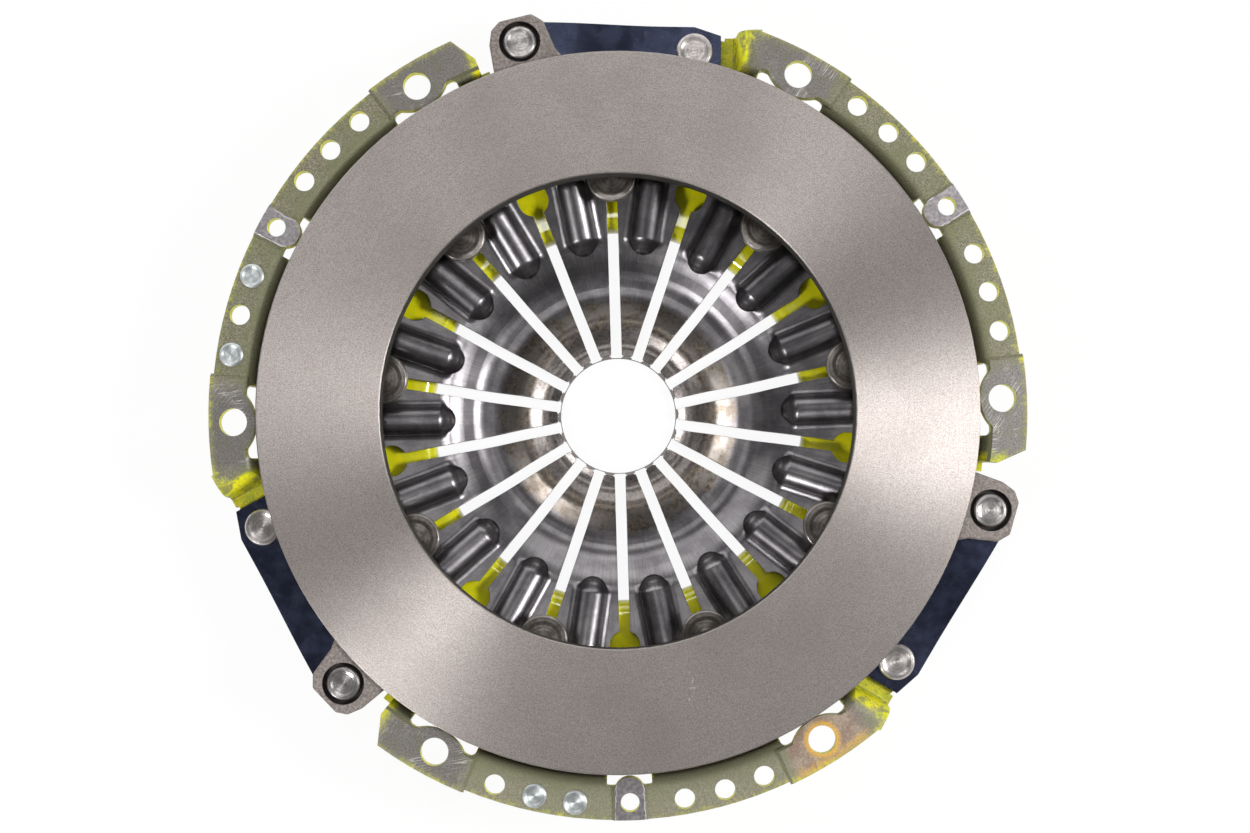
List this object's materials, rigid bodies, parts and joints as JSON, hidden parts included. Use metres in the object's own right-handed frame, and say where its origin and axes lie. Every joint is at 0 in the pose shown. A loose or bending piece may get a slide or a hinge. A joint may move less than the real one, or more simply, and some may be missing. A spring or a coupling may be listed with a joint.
{
  "type": "clutch pressure plate",
  "caption": "Diaphragm clutch pressure plate: pressed cover with a flanged bolt circle, ground cast ring carried on leaf straps, and a slotted diaphragm spring with ribbed fingers.",
  "frame": {"origin": "on the clutch axis, in the plane of the cover's mounting pads, which is the centre of the flywheel bolt circle", "axes": "+Z along the clutch axis from the cover to the flywheel, the way the friction face looks; +X to the right and +Y up for someone who looks at the friction face"},
  "size_m": [0.2766, 0.2725, 0.0444],
  "materials": {
    "cover_paint": "thin olive paint, dull, brighter yellow-green where it is thick",
    "plate_casting": "ground friction face, cast elsewhere",
    "spring_steel": "dark tempered, semi-gloss",
    "wire_steel": "dark, satin",
    "dark_rivet_steel": "dark, satin, turned rings from the riveting tool",
    "strap_steel": "blue-black tempered strip",
    "plated_rivet_steel": "bright, satin",
    "balance_rivet_steel": "zinc plated, satin"
  },
  "bodies": {
    "cover_assembly": {"cover": "cover_paint", "diaphragm_spring": "spring_steel", "fulcrum_wire_back": "wire_steel", "fulcrum_wire_front": "wire_steel", "diaphragm_rivet_1": "dark_rivet_steel", "diaphragm_rivet_2": "dark_rivet_steel", "diaphragm_rivet_3": "dark_rivet_steel", "diaphragm_rivet_4": "dark_rivet_steel", "diaphragm_rivet_5": "dark_rivet_steel", "diaphragm_rivet_6": "dark_rivet_steel", "diaphragm_rivet_7": "dark_rivet_steel", "diaphragm_rivet_8": "dark_rivet_steel", "diaphragm_rivet_9": "dark_rivet_steel", "strap_rivet_1": "plated_rivet_steel", "strap_rivet_2": "plated_rivet_steel", "strap_rivet_3": "plated_rivet_steel", "balance_rivet_1": "balance_rivet_steel", "balance_rivet_2": "balance_rivet_steel", "balance_rivet_3": "balance_rivet_steel", "balance_rivet_4": "balance_rivet_steel", "drive_strap_1_leaf_1": "strap_steel", "drive_strap_1_leaf_2": "strap_steel", "drive_strap_1_leaf_3": "strap_steel", "drive_strap_2_leaf_1": "strap_steel", "drive_strap_2_leaf_2": "strap_steel", "drive_strap_2_leaf_3": "strap_steel", "drive_strap_3_leaf_1": "strap_steel", "drive_strap_3_leaf_2": "strap_steel", "drive_strap_3_leaf_3": "strap_steel"},
    "plate_assembly": {"pressure_plate": "plate_casting", "lug_rivet_1": "plated_rivet_steel", "lug_rivet_2": "plated_rivet_steel", "lug_rivet_3": "plated_rivet_steel"}
  },
  "joints": [
    {"name": "plate_slide", "type": "slide", "parent": "cover_assembly", "child": "plate_assembly", "axis": [0, 0, -1], "range_m": [0, 0.005], "stiffness_N_per_m": 20000, "springref_m": -0.003, "deforming": ["diaphragm_spring", "drive_strap_1_leaf_1", "drive_strap_1_leaf_2", "drive_strap_1_leaf_3", "drive_strap_2_leaf_1", "drive_strap_2_leaf_2", "drive_strap_2_leaf_3", "drive_strap_3_leaf_1", "drive_strap_3_leaf_2", "drive_strap_3_leaf_3"]}
  ]
}
